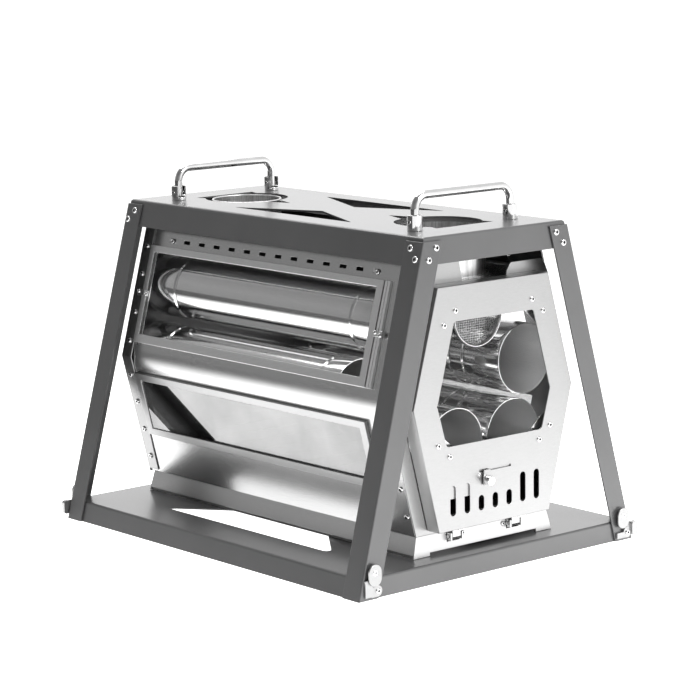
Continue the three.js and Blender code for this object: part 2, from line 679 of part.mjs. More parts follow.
// ---------------------------------------------------------------- stowed flue parts
function tubeAlongY({ x, z, y0, y1, radius }, segments = 28) {
  const wall = PIPE_WALL;
  const inside = radius - wall;
  const points = [[inside, y0], [radius, y0], [radius, y1], [inside, y1], [inside, y0]];
  const profile = points.map(([r, y]) => new THREE.Vector2(r, y));
  return solid(new THREE.LatheGeometry(profile, segments).translate(x, 0, z));
}

// ---------------------------------------------------------------- assembly
const group = new THREE.Group();

function place(name, body, material) {
  const mesh = new THREE.Mesh(geometryOf(body), material);
  mesh.name = name;
  group.add(mesh);
}

const CORNERS = [['front_left', -1, -1], ['front_right', 1, -1], ['rear_left', -1, 1], ['rear_right', 1, 1]];

place('top_deck', topDeck(), LOOKS.powder);
place('bottom_deck', bottomDeck(), LOOKS.powder);
for (const [corner, sideX, sideY] of CORNERS) {
  place(`leg_${corner}`, leg(sideX, sideY), LOOKS.powder);
  place(`corner_bracket_${corner}`, cornerBracket(sideX, sideY), LOOKS.satin);
  place(`turn_catch_${corner}`, turnCatch(sideX, sideY), LOOKS.satin);
  place(`handle_post_${corner}`, handlePost(sideX, sideY), LOOKS.chrome);
}
place('handle_bar_front', handleBar(-1), LOOKS.chrome);
place('handle_bar_rear', handleBar(1), LOOKS.chrome);

place('side_panel_right', sidePanel(), LOOKS.steel);
place('side_panel_left', mirroredX(sidePanel()), LOOKS.steel);
for (const [level, upper, size] of [['upper', true, UPPER_WINDOW], ['lower', false, LOWER_WINDOW]]) {
  place(`window_frame_${level}_right`, windowFrame(upper, size), LOOKS.steel);
  place(`window_frame_${level}_left`, mirroredX(windowFrame(upper, size)), LOOKS.steel);
  place(`window_glass_${level}_right`, windowGlass(upper, size), LOOKS.glass);
  place(`window_glass_${level}_left`, mirroredX(windowGlass(upper, size)), LOOKS.glass);
}
place('rear_panel', rearPanel(), LOOKS.steel);
place('front_frame', frontFrame(), LOOKS.satin);
place('top_plate', topPlate(), LOOKS.steel);
place('flue_collar', collarRing(FLUE), LOOKS.steel);
place('pot_ring', collarRing(POT_RING), LOOKS.steel);
place('base_pan', basePan(), LOOKS.steel);
place('grate', grate(), LOOKS.dark);

place('door_pan', doorPan(), LOOKS.satin);
place('door_glass', doorGlass(), LOOKS.glass);
for (const [name, [first, second]] of Object.entries(CLIP_SCREWS)) {
  place(name, glassClip(first, second), LOOKS.steel);
}
place('damper_plate', damperPlate(), LOOKS.satin);
place('damper_knob', damperKnob(), LOOKS.chrome);
place('damper_guide', damperGuide(), LOOKS.steel);
for (const [word, side] of [['left', -1], ['right', 1]]) {
  place(`door_lug_${word}`, doorLug(side), LOOKS.steel);
  place(`hinge_bracket_${word}`, hingeBracket(side), LOOKS.steel);
  place(`hinge_pin_${word}`, hingePin(side), LOOKS.steel);
}

for (const item of STOWED) place(item.name, tubeAlongY(item), LOOKS.pipe);
place('spark_arrestor', tubeAlongY(ARRESTOR), LOOKS.pipe);

export default group;
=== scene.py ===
"""Glass-windowed tent stove in a splayed carry rack: looks, small fasteners, light and camera."""
import json
import math

import bmesh
import bpy
from mathutils import Matrix, Vector


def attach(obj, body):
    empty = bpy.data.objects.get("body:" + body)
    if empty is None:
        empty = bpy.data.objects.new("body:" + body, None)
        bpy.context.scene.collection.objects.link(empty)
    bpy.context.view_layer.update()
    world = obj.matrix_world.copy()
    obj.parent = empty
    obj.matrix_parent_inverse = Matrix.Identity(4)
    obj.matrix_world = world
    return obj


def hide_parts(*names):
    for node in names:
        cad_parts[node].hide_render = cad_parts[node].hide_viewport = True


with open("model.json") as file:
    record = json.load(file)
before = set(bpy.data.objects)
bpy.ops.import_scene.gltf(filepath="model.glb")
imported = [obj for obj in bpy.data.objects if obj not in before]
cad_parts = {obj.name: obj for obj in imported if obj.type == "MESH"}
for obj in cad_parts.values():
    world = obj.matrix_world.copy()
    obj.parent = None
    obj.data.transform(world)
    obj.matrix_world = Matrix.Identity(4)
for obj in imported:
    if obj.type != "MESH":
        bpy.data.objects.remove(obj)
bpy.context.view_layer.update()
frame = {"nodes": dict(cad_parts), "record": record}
NODES = frame["nodes"]
BODY_OF = {n: b for b, ns in frame["record"]["behaviour"]["bodies"].items() for n in ns}
MM = 0.001


# ------------------------------------------------------------------ node materials
class Graph:
    """A short way to write the node tree of a material or of the world."""

    def __init__(self, owner):
        owner.use_nodes = True
        self.owner = owner
        self.tree = owner.node_tree

    def add(self, kind, **settings):
        node = self.tree.nodes.new(kind)
        for key, value in settings.items():
            if key in node.inputs:
                node.inputs[key].default_value = value
            else:
                setattr(node, key, value)
        return node

    def link(self, out, target):
        self.tree.links.new(out, target)

    def position(self, scale):
        """The place on the object in metres, scaled along each axis."""
        coord = self.add("ShaderNodeTexCoord")
        mapping = self.add("ShaderNodeMapping")
        mapping.inputs["Scale"].default_value = scale
        self.link(coord.outputs["Object"], mapping.inputs["Vector"])
        return mapping.outputs["Vector"]

    def noise(self, scale, detail=3.0, stretch=(1, 1, 1), rough=0.55):
        node = self.add("ShaderNodeTexNoise", Scale=scale, Detail=detail, Roughness=rough)
        self.link(self.position(stretch), node.inputs["Vector"])
        return node.outputs["Fac"]

    def ramp(self, fac, stops):
        """A colour ramp; each stop is a place with a grey or a colour."""
        node = self.add("ShaderNodeValToRGB")
        ramp = node.color_ramp
        while len(ramp.elements) < len(stops):
            ramp.elements.new(0.5)
        for element, (place, value) in zip(ramp.elements, stops):
            element.position = place
            colour = value if isinstance(value, tuple) else (value, value, value)
            element.color = (*colour, 1)
        self.link(fac, node.inputs["Fac"])
        return node.outputs["Color"]

    def bump(self, height, strength, depth):
        """A bump of a depth in millimetres."""
        node = self.add("ShaderNodeBump", Strength=strength, Distance=depth * MM)
        self.link(height, node.inputs["Height"])
        return node.outputs["Normal"]

    def math(self, operation, *values):
        """A Math node; each value is a number or another node's output."""
        node = self.add("ShaderNodeMath", operation=operation)
        for target, value in zip(node.inputs, values):
            if isinstance(value, bpy.types.NodeSocket):
                self.link(value, target)
            else:
                target.default_value = value
        return node.outputs[0]

    def map_range(self, value, source, result):
        """Maps one (low, high) range to another and stops at its ends."""
        node = self.add("ShaderNodeMapRange")
        self.link(value, node.inputs["Value"])
        for place, number in zip((1, 2, 3, 4), (*source, *result)):
            node.inputs[place].default_value = number
        return node.outputs["Result"]

    def set(self, **sockets):
        """Sets or links sockets of the material's Principled shader."""
        shader = self.tree.nodes["Principled BSDF"]
        for key, value in sockets.items():
            target = shader.inputs[key.replace("_", " ")]
            if isinstance(value, bpy.types.NodeSocket):
                self.link(value, target)
            else:
                target.default_value = value


def powder_coat():
    g = Graph(bpy.data.materials.new("rack_powder_coat"))
    grain = g.noise(2600, 2.0)
    cloud = g.noise(9, 3.0)
    g.set(
        Base_Color=g.ramp(cloud, [(0.3, (0.050, 0.050, 0.051)), (0.7, (0.064, 0.064, 0.065))]),
        Roughness=g.ramp(grain, [(0.3, 0.34), (0.7, 0.44)]),
        Normal=g.bump(grain, 0.14, 0.06),
        Coat_Weight=1.0,
        Coat_Roughness=0.22,
    )
    return g.owner


def brushed(name, low, high, rough, along, strength):
    """Brushed sheet: long fine streaks along one axis, with slow patches of tone."""
    g = Graph(bpy.data.materials.new(name))
    fine = g.noise(900, 4.0, along, 0.7)
    coarse = g.noise(120, 3.0, along, 0.6)
    patches = g.math("MULTIPLY", g.noise(6, 2.0), 0.15)
    fac = g.math("MULTIPLY_ADD", fine, 0.55, g.math("MULTIPLY_ADD", coarse, 0.3, patches))
    g.set(
        Base_Color=g.ramp(fac, [(0.35, low), (0.65, high)]),
        Roughness=g.ramp(fac, [(0.3, rough + 0.05), (0.7, rough - 0.04)]),
        Normal=g.bump(fine, strength, 0.03),
        Metallic=1.0,
    )
    return g.owner


def chrome():
    g = Graph(bpy.data.materials.new("polished_chrome"))
    smear = g.noise(45, 4.0)
    g.set(
        Base_Color=g.ramp(smear, [(0.3, 0.70), (0.7, 0.80)]),
        Roughness=g.ramp(smear, [(0.35, 0.06), (0.75, 0.12)]),
        Metallic=1.0,
    )
    return g.owner


def clear_glass(name, stops):
    """Thin glass: see-through when faced, and a mirror for the studio towards grazing views."""
    g = Graph(bpy.data.materials.new(name))
    facing = g.add("ShaderNodeLayerWeight", Blend=0.5)
    smear = g.noise(14, 4.0)
    g.set(
        Base_Color=g.ramp(smear, [(0.35, 0.33), (0.7, 0.42)]),
        Metallic=1.0,
        Roughness=g.ramp(smear, [(0.4, 0.01), (0.8, 0.04)]),
        Alpha=g.ramp(facing.outputs["Facing"], stops),
    )
    return g.owner


# Near-black painted shade for the bottoms of screw sockets and for the plate behind the vents.
def painted_shade_look():
    g = Graph(bpy.data.materials.new("painted_recess_shade"))
    speck = g.noise(700, 3.0)
    g.set(Base_Color=g.ramp(speck, [(0.3, 0.008), (0.7, 0.02)]), Roughness=0.7)
    return g.owner


def dull_iron():
    g = Graph(bpy.data.materials.new("heat_dulled_steel"))
    patch = g.noise(40, 5.0)
    g.set(
        Base_Color=g.ramp(patch, [(0.3, 0.06), (0.7, 0.16)]),
        Roughness=g.ramp(patch, [(0.3, 0.5), (0.7, 0.65)]),
        Metallic=0.8,
        Normal=g.bump(patch, 0.2, 0.3),
    )
    return g.owner


def woven_mesh():
    g = Graph(bpy.data.materials.new("arrestor_mesh"))
    speck = g.noise(500, 2.0)
    g.set(
        Base_Color=g.ramp(speck, [(0.3, 0.30), (0.7, 0.60)]),
        Roughness=g.ramp(speck, [(0.3, 0.25), (0.7, 0.4)]),
        Metallic=1.0,
    )
    return g.owner


# How solid the glass is, from faced to grazing.
CLEAR = [(0.0, 0.012), (0.5, 0.03), (0.8, 0.12), (1.0, 0.6)]
GLARE = [(0.0, 0.05), (0.3, 0.5), (0.6, 0.85), (1.0, 0.95)]
# How much faster the streaks change along each axis: slowest along the brushing.
STREAKS_Y = (30, 1, 30)
STREAKS_X = (1, 30, 30)
STREAKS_TUBE = (12, 1, 12)
STREAKS_UP = (1, 1, 0.05)

LOOK = {
    "rack_paint": powder_coat(),
    "chrome": chrome(),
    "dark_steel": dull_iron(),
    "mesh": woven_mesh(),
    "recess_shade": painted_shade_look(),
    "glass": clear_glass("clear_glass", CLEAR),
    "glare_glass": clear_glass("low_window_glass", GLARE),
    "satin_steel": brushed("satin_sheet", 0.5, 0.62, 0.36, STREAKS_Y, 0.05),
    "brushed_steel": brushed("brushed_sheet", 0.52, 0.66, 0.25, STREAKS_Y, 0.10),
    "pipe_steel": brushed("rolled_tube", 0.80, 0.95, 0.12, STREAKS_TUBE, 0.02),
    "pipe_inside": brushed("tube_inside", 0.62, 0.76, 0.45, STREAKS_TUBE, 0.02),
    # Darker copies of the side steel for the front and rear faces: painted shade against the light
    # that falls there.
    "end_shaded_sheet": brushed("end_shaded_sheet", 0.35, 0.46, 0.34, STREAKS_X, 0.14),
    "rear_shaded_sheet": brushed("rear_shaded_sheet", 0.30, 0.40, 0.3, STREAKS_X, 0.1),
    # One window frame steel in two copies: painted light on the upper frames, painted shade on the
    # lower ones.
    "lit_frame_sheet": brushed("lit_window_frame_sheet", 0.70, 0.86, 0.3, STREAKS_Y, 0.08),
    "shaded_low_frame_sheet": brushed("shaded_low_window_frame_sheet", 0.34, 0.46, 0.3, STREAKS_Y, 0.08),
    # A darker copy of the brushed steel: painted shade on faces inside the stove.
    "inside_painted_shade_sheet": brushed("inside_painted_shade_sheet", 0.16, 0.26, 0.34, STREAKS_Y, 0.08),
    "pan_sheet": brushed("pan_sheet", 0.5, 0.64, 0.3, STREAKS_Y, 0.08),
    # Upright bands from dark to near white: partly streaks, partly painted reflection bands.
    "collar_painted_reflection_bands": brushed("collar_painted_reflection_bands", 0.30, 0.98, 0.3, STREAKS_UP, 0.03),
    "bright_strip": brushed("bright_strip", 0.82, 0.95, 0.3, STREAKS_Y, 0.05),
}


# ------------------------------------------------------------------ mesh helpers, in millimetres
WELD = 0.002                         # points of the CAD mesh closer than this become one
FLAT_ANGLE = math.radians(0.8)       # faces that turn less than this become one
FOLD_ANGLE = 0.15                    # radians; an edge must turn more than this to be a fold
BEVEL_ANGLE = math.radians(32)       # and more than this to be softened
RING = 24                            # corners around a screw
TUBE_SIDES = 72


def finish_piece(obj, body, slot, look=None):
    """Gives a new object its material and body; the material is the slot's look unless a look is
    named.
    """
    obj.data.materials.append(LOOK[look or slot])
    if obj.name not in bpy.context.scene.collection.objects:
        bpy.context.scene.collection.objects.link(obj)
    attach(obj, body)
    return obj


def piece_from(bm, name, body, slot, look=None, smooth=35):
    """A piece from a bmesh, smooth up to an angle in degrees."""
    mesh = bpy.data.meshes.new(name)
    bmesh.ops.recalc_face_normals(bm, faces=bm.faces)
    bm.to_mesh(mesh)
    bm.free()
    for polygon in mesh.polygons:
        polygon.use_smooth = True
    mesh.set_sharp_from_angle(angle=math.radians(smooth))
    obj = bpy.data.objects.new(name, mesh)
    return finish_piece(obj, body, slot, look)


def edge_bevel(obj, width, segments=2):
    """Softens the sharp edges by a width in millimetres and keeps the large faces flat."""
    bevel = obj.modifiers.new("edge", "BEVEL")
    bevel.width = width * MM
    bevel.segments = segments
    bevel.limit_method = "ANGLE"
    bevel.angle_limit = BEVEL_ANGLE
    weighted = obj.modifiers.new("flat_faces", "WEIGHTED_NORMAL")
    weighted.mode = "FACE_AREA"
    weighted.weight = 100
    weighted.keep_sharp = True


def round_folds(bm, chosen, radius, steps):
    """Rounds the sharp edges whose two ends are chosen, all in millimetres."""
    edges = [
        e for e in bm.edges
        if len(e.link_faces) == 2 and abs(e.calc_face_angle(0)) > FOLD_ANGLE
        and all(chosen(v.co / MM) for v in e.verts)
    ]
    if edges:
        bmesh.ops.bevel(
            bm, geom=edges, offset=radius * MM, offset_type="OFFSET", segments=steps,
            profile=0.5, affect="EDGES", clamp_overlap=True,
        )


def refined(node, slot, look=None, folds=(), width=0.3, segments=2, inner=None):
    """The CAD solid with clean faces, real fold radii and softened edges, in its place.

    Faces for which inner(centre in millimetres, normal) holds get a darker copy of the steel,
    painted shade for the inside.
    """
    bm = bmesh.new()
    bm.from_mesh(NODES[node].data)
    bmesh.ops.remove_doubles(bm, verts=bm.verts, dist=WELD * MM)
    bmesh.ops.dissolve_limit(bm, angle_limit=FLAT_ANGLE, verts=bm.verts, edges=bm.edges)
    for chosen, radius, steps in folds:
        round_folds(bm, chosen, radius, steps)
    if inner:
        bm.normal_update()
        for face in bm.faces:
            if inner(face.calc_center_median() / MM, face.normal):
                face.material_index = 1
    obj = piece_from(bm, f"{node}_sheet", BODY_OF[node], slot, look)
    if inner:
        obj.data.materials.append(LOOK["inside_painted_shade_sheet"])
    edge_bevel(obj, width, segments)
    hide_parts(node)


def dress(node, look):
    """A CAD solid that stays as it is, with its material."""
    mesh = NODES[node].data
    mesh.materials.clear()
    mesh.materials.append(LOOK[look])


def frame_on(normal):
    """A rotation that turns local Z to a normal that isn't vertical."""
    z = Vector(normal).normalized()
    x = Vector((0, 0, 1)).cross(z).normalized()
    return Matrix((x, z.cross(x), z)).transposed().to_4x4()


def add_rings(bm, rings, matrix):
    """Skins a stack of equal vertex rings and closes both ends."""
    made = [[bm.verts.new(matrix @ Vector(p)) for p in ring] for ring in rings]
    count = len(made[0])
    for low, high in zip(made, made[1:]):
        for i in range(count):
            j = (i + 1) % count
            bm.faces.new((low[i], low[j], high[j], high[i]))
    bm.faces.new(list(reversed(made[0])))
    bm.faces.new(made[-1])


def circle(radius, height):
    angles = [2 * math.pi * i / RING for i in range(RING)]
    return [(radius * math.cos(a), radius * math.sin(a), height) for a in angles]


def hexagon_ring(radius, height):
    points = []
    for i in range(RING):
        angle = 2 * math.pi * i / RING
        local = (angle % (math.pi / 3)) - math.pi / 6
        r = radius * math.cos(math.pi / 6) / math.cos(local)
        points.append((r * math.cos(angle), r * math.sin(angle), height))
    return points


def add_screw(bm, point, normal, radius, height=None):
    """A button-head socket screw on the surface at a point in millimetres.

    The bottom of its hexagonal socket has the second material, near-black painted shade.
    """
    h = height or radius * 0.55
    r = radius
    matrix = Matrix.Translation(Vector(point) * MM) @ frame_on(normal)
    rings = [
        circle(r, -0.1), circle(r, h * 0.35), circle(r * 0.95, h * 0.7),
        circle(r * 0.82, h * 0.93), circle(r * 0.66, h),
        hexagon_ring(r * 0.5, h), hexagon_ring(r * 0.48, h * 0.25),
    ]
    before = set(bm.faces)
    add_rings(bm, [[Vector(p) * MM for p in ring] for ring in rings], matrix)
    for face in bm.faces:
        if face not in before and len(face.verts) == RING:
            centre = matrix.inverted() @ face.calc_center_median()
            face.material_index = 1 if centre.z > 0 else 0


def screw_piece(bm, name, body, slot="chrome", look=None, smooth=40):
    """A piece with screws in it: its second material is the painted shade at the bottom of their
    sockets.
    """
    obj = piece_from(bm, name, body, slot, look, smooth)
    obj.data.materials.append(LOOK["recess_shade"])
    return obj


def screws(name, body, places):
    """Screws at (point, normal, radius), all in one piece."""
    bm = bmesh.new()
    for place in places:
        add_screw(bm, *place)
    screw_piece(bm, name, body)


def add_block(bm, matrix, x, y, z):
    """A box between two limits on each local axis, in millimetres."""
    corners = [(a, b, c) for c in z for b in y for a in x]
    v = [bm.verts.new(matrix @ (Vector(p) * MM)) for p in corners]
    for f in ((0, 2, 3, 1), (4, 5, 7, 6), (0, 1, 5, 4), (2, 6, 7, 3), (0, 4, 6, 2), (1, 3, 7, 5)):
        bm.faces.new([v[i] for i in f])


def lathe_y(node, profile, centre, inside=None):
    """A closed ring turned around a line along Y, in place of a CAD tube.

    The profile is a closed list of (radius, y); its bore can have a look of its own.
    """
    middle_radius = sum(r for r, _ in profile) / len(profile)
    bm = bmesh.new()
    rings = []
    for r, y in profile:
        ring = []
        for i in range(TUBE_SIDES):
            a = 2 * math.pi * i / TUBE_SIDES
            x, z = centre[0] + r * math.cos(a), centre[1] + r * math.sin(a)
            ring.append(bm.verts.new((x * MM, y * MM, z * MM)))
        rings.append(ring)
    for k, low in enumerate(rings):
        following = (k + 1) % len(rings)
        high = rings[following]
        radius = profile[k][0]
        in_bore = inside and radius == profile[following][0] and radius < middle_radius
        for i in range(TUBE_SIDES):
            j = (i + 1) % TUBE_SIDES
            face = bm.faces.new((low[i], low[j], high[j], high[i]))
            face.material_index = 1 if in_bore else 0
    obj = piece_from(bm, f"{node}_tube", ROOT, "pipe_steel", None, 50)
    if inside:
        obj.data.materials.append(LOOK[inside])
    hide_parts(node)


# ------------------------------------------------------------------ measurements, in millimetres
ROOT = "rack_and_stove"
LEG_TOP = 357.5
FOOT_X, TOP_X = 199, 103.2
FOOT_Y, TOP_Y = 258.7, 254.5
LEAN_X = (FOOT_X - TOP_X) / LEG_TOP
LEAN_Y = (FOOT_Y - TOP_Y) / LEG_TOP
END_TILT = 0.0118                                # the ends' normals point up by this much

PANEL_FOOT = Vector((95, 0, 45.3))
PANEL_WAIST = Vector((130, 0, 185))
PANEL_TOP = Vector((97, 0, 306))


def rack_x(z):
    """The outer face of the rack's long sides at a height."""
    return FOOT_X - LEAN_X * z


def rack_y(z):
    """The outer face of the rack's ends at a height."""
    return FOOT_Y - LEAN_Y * z


def on_slope(side, upper, y, s, n=0.0):
    """A point and the outward normal on a side panel: along Y, up the slope, and off the sheet."""
    start, end = (PANEL_WAIST, PANEL_TOP) if upper else (PANEL_FOOT, PANEL_WAIST)
    up = (end - start).normalized()
    out = Vector((0, 1, 0)).cross(up)
    p = start + up * s + out * n
    p.y = y
    return Vector((side * p.x, p.y, p.z)), Vector((side * out.x, 0, out.z))


# ------------------------------------------------------------------ the rack
CORNERS = ((-1, -1), (-1, 1), (1, -1), (1, 1))
SIDE_SCREWS = ((238, 350.5), (248, 340))         # y and z on the long sides of the upper deck
END_SCREWS = ((85.5, 350.6), (96, 338.6))        # x and z on its ends
CATCH_PIVOT = (180.3, 262.9, 29)
FOOT_SCREW_Z = 8.8
TAB_FOOT, STEP_FOOT = (188.2, 261.4), (175, 260.7)   # x and y of a foot plate's screw
RACK_SCREW, FOOT_SCREW, CATCH_SCREW = 3.6, 3.0, 3.3  # head radii
CATCH_HEAD = 1.05                                # low, to stay inside the CAD model's box
HANDLE_Y = 203
PIN_Z, PIN_REACH, PIN_RADIUS, PIN_HEAD = 371.3, 7.7, 2.2, 0.75
HANDLE_HALF, HANDLE_LOW, HANDLE_HIGH = 68.0, 367.5, 398.5
HANDLE_BEND, HANDLE_ROD = 15.0, 4.5              # radii of the bends and of the rod


def corner_word(sx, sy):
    """The corner's name, from the signs of its X and Y."""
    return f"{'front' if sy < 0 else 'rear'}_{'left' if sx < 0 else 'right'}"


def build_rack():
    def deck_fold(limit_z):
        """The fold around a deck, whose ends lie above a height."""
        return lambda v: v.z > limit_z and (
            abs(v.x) > rack_x(v.z) - 5 or abs(v.y) > rack_y(v.z) - 5)

    def leg_fold(v):
        return abs(abs(v.x) - rack_x(v.z)) < 3 and abs(abs(v.y) - rack_y(v.z)) < 3

    refined("top_deck", "rack_paint", folds=[(deck_fold(359), 2.6, 4)], width=0.35)
    refined("bottom_deck", "rack_paint", folds=[(deck_fold(19), 2.2, 4)], width=0.35)
    for word in ("front_left", "front_right", "rear_left", "rear_right"):
        refined(f"leg_{word}", "rack_paint", folds=[(leg_fold, 1.6, 3)])
        refined(f"corner_bracket_{word}", "satin_steel", "end_shaded_sheet", width=0.4)
        refined(f"turn_catch_{word}", "satin_steel", "end_shaded_sheet", width=0.4)
        refined(f"handle_post_{word}", "chrome", width=0.5, segments=3)


def build_rack_screws():
    places = []
    for sx, sy in CORNERS:
        for y, z in SIDE_SCREWS:
            places.append(((sx * rack_x(z), sy * y, z), (sx, 0, LEAN_X), RACK_SCREW))
        for x, z in END_SCREWS:
            places.append(((sx * x, sy * rack_y(z), z), (0, sy, END_TILT), RACK_SCREW))
        x, y = TAB_FOOT if sx * sy < 0 else STEP_FOOT
        places.append(((sx * x, sy * y, FOOT_SCREW_Z), (0, sy, 0), FOOT_SCREW))
        bm = bmesh.new()
        x, y, z = CATCH_PIVOT
        add_screw(bm, (sx * x, sy * y, z), (0, sy, 0), CATCH_SCREW, CATCH_HEAD)
        word = corner_word(sx, sy)
        screw_piece(bm, f"catch_screw_{word}", f"catch_{word}")
    screws("rack_screws", ROOT, places)


def handle_line():
    """The middle line of a handle as (x, z): up, round a bend, across, round a bend and down."""
    reach, height = HANDLE_HALF - HANDLE_BEND, HANDLE_HIGH - HANDLE_BEND
    points = [(-HANDLE_HALF, HANDLE_LOW)]
    for x, start in ((-reach, math.pi), (reach, math.pi / 2)):
        for k in range(13):
            a = start - k * math.pi / 24
            points.append((x + HANDLE_BEND * math.cos(a), height + HANDLE_BEND * math.sin(a)))
    points.append((HANDLE_HALF, HANDLE_LOW))
    return points


def build_handles():
    points = handle_line()
    for word, side in (("front", -1), ("rear", 1)):
        curve = bpy.data.curves.new(f"handle_rod_{word}", "CURVE")
        curve.dimensions = "3D"
        curve.bevel_depth = HANDLE_ROD * MM
        curve.bevel_resolution = 6
        curve.use_fill_caps = True
        spline = curve.splines.new("POLY")
        spline.points.add(len(points) - 1)
        for target, (x, z) in zip(spline.points, points):
            target.co = (x * MM, side * HANDLE_Y * MM, z * MM, 1)
        rod = bpy.data.objects.new(f"handle_rod_{word}", curve)
        finish_piece(rod, f"handle_{word}", "chrome")
        bm = bmesh.new()
        for end in (-1, 1):
            for out in (-1, 1):
                centre = (end * HANDLE_HALF + out * PIN_REACH, side * HANDLE_Y, PIN_Z)
                add_screw(bm, centre, (out, 0, 0), PIN_RADIUS, PIN_HEAD)
        screw_piece(bm, f"handle_pins_{word}", f"handle_{word}", smooth=35)
        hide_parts(f"handle_bar_{word}")


# ------------------------------------------------------------------ the stove body
RIM_CENTRE, RIM_RADIUS, RIM_BEAD = Vector((0, 164, 360.3)), 39.1, 1.1
PANEL_SCREW = 3.1
PANEL_SCREWS = (    # above the waist or not, y, distance off the sheet, and places up the slope
    (True, 226, 1.5, (129.4, 96.6, 52.2, 18.4)),
    (False, 226, 1.5, (122, 88.4, 53.8, 19.7)),
    (False, -222, 0, (53.8, 21.9)),
)
PAN_SCREW_PLACE, PAN_SCREW_TILT, PAN_SCREW = (29, -229.7, 39.6), (0, -1, 0.11), 2.6
# On the upper side panels: y along the panel, s up the slope, and n off the sheet.
CHANNEL = (6, 138.5, (186, 5.5), (-9, -7.5))
END_CLIPS_Y, END_CLIP_S, END_CLIP, END_CLIP_SCREW = (183.4, -171.4), 139, (4.6, 1.7), 3.0
FRAME_CLIPS = ((214, 10), (-196, 7))             # y and half length
FRAME_CLIP_S, FRAME_CLIP_HALF, FRAME_CLIP_N, FRAME_CLIP_SCREW = 75, 3.2, (4.5, 5.5), 2.3
STRIP_S = 74.4
STRIP_BARS = (                                   # y, half width, half length and height
    (-192.6, 1.5, 56.6, 3.6), (-197.4, 1.6, 56.6, 3.6), (-195, 1.0, 56.2, 1.4),
)


def build_shell():
    def waist(v):
        return abs(v.z - PANEL_WAIST.z) < 1.5 and abs(v.x) > 126

    # The faces inside the stove get the painted shade copy of the steel.
    def side_inside(centre, normal):
        return normal.x * centre.x < 0 and abs(normal.x) > 0.7

    def rear_inside(centre, normal):
        return normal.y < -0.7 and centre.y > 230

    def front_inside(centre, normal):
        return normal.y > 0.7 and centre.z < PANEL_TOP.z

    def underside(_, normal):
        return normal.z < -0.7

    # Each level's frame takes its own copy of the steel: painted light above, painted shade below.
    levels = (("upper", "lit_frame_sheet", "glass"), ("lower", "shaded_low_frame_sheet", "glare_glass"))
    for word in ("left", "right"):
        refined(f"side_panel_{word}", "brushed_steel", folds=[(waist, 12, 8)],
                width=0.25, inner=side_inside)
        for level, sheet, glass in levels:
            refined(f"window_frame_{level}_{word}", "brushed_steel", sheet,
                    width=0.9, segments=3)
            dress(f"window_glass_{level}_{word}", glass)
    refined("rear_panel", "brushed_steel", "rear_shaded_sheet", width=0.5, inner=rear_inside)
    refined("front_frame", "satin_steel", "end_shaded_sheet", width=0.3, inner=front_inside)
    refined("top_plate", "brushed_steel", width=0.2, inner=underside)
    refined("base_pan", "brushed_steel", "pan_sheet", width=0.4)
    dress("grate", "dark_steel")
    # The collars carry painted reflection bands in their steel.
    for node in ("flue_collar", "pot_ring"):
        refined(node, "brushed_steel", "collar_painted_reflection_bands", width=0.3)


def build_flue_rim():
    """The rolled edge around the top of the flue collar."""
    bpy.ops.mesh.primitive_torus_add(
        location=RIM_CENTRE * MM, major_radius=RIM_RADIUS * MM, minor_radius=RIM_BEAD * MM,
        major_segments=96, minor_segments=10,
    )
    rim = bpy.context.active_object
    rim.name = "flue_rim_bead"
    for polygon in rim.data.polygons:
        polygon.use_smooth = True
    finish_piece(rim, ROOT, "brushed_steel", "bright_strip")


def build_shell_screws():
    places = []
    for side in (-1, 1):
        for upper, y, n, row in PANEL_SCREWS:
            places += [(*on_slope(side, upper, y, s, n), PANEL_SCREW) for s in row]
        x, y, z = PAN_SCREW_PLACE
        places.append(((side * x, y, z), PAN_SCREW_TILT, PAN_SCREW))
    screws("shell_screws", ROOT, places)


def add_plate(bm, side, y, s, half_size, n):
    """A thin plate on an upper side panel, around (y, s) and between two limits off the sheet."""
    point, out = on_slope(side, True, y, s)
    along = Vector((0, 1, 0))
    basis = Matrix((along, out.cross(along), out)).transposed().to_4x4()
    matrix = Matrix.Translation(point * MM) @ basis
    length, width = half_size
    add_block(bm, matrix, (-length, length), (-width, width), n)


def build_window_hardware():
    """Air-wash channel behind the vents, end clips, frame clips and the retaining strip."""
    channel, clips, strip = bmesh.new(), bmesh.new(), bmesh.new()
    for side in (-1, 1):
        add_plate(channel, side, *CHANNEL)
        for y in END_CLIPS_Y:
            add_plate(clips, side, y, END_CLIP_S, END_CLIP, (-0.4, 1.0))
            point, out = on_slope(side, True, y - 2.2, END_CLIP_S - 0.4, 0.9)
            add_screw(clips, point, out, END_CLIP_SCREW, 1.2)
        for y, half in FRAME_CLIPS:
            add_plate(clips, side, y, FRAME_CLIP_S, (half, FRAME_CLIP_HALF), FRAME_CLIP_N)
            for end in (-1, 1):
                s = FRAME_CLIP_S + end * 1.2
                point, out = on_slope(side, True, y + end * (half - 3), s, 5.4)
                add_screw(clips, point, out, FRAME_CLIP_SCREW)
        for y, width, length, height in STRIP_BARS:
            add_plate(strip, side, y, STRIP_S, (width, length), (0.2, height))
    # The channel is near-black painted shade behind the vent slots.
    piece_from(channel, "air_wash_channel", ROOT, "dark_steel", "recess_shade")
    edge_bevel(screw_piece(clips, "window_clips", ROOT, smooth=30), 0.2, 1)
    bars = screw_piece(strip, "window_retaining_strip", ROOT, "satin_steel", "bright_strip", 30)
    edge_bevel(bars, 0.2, 1)


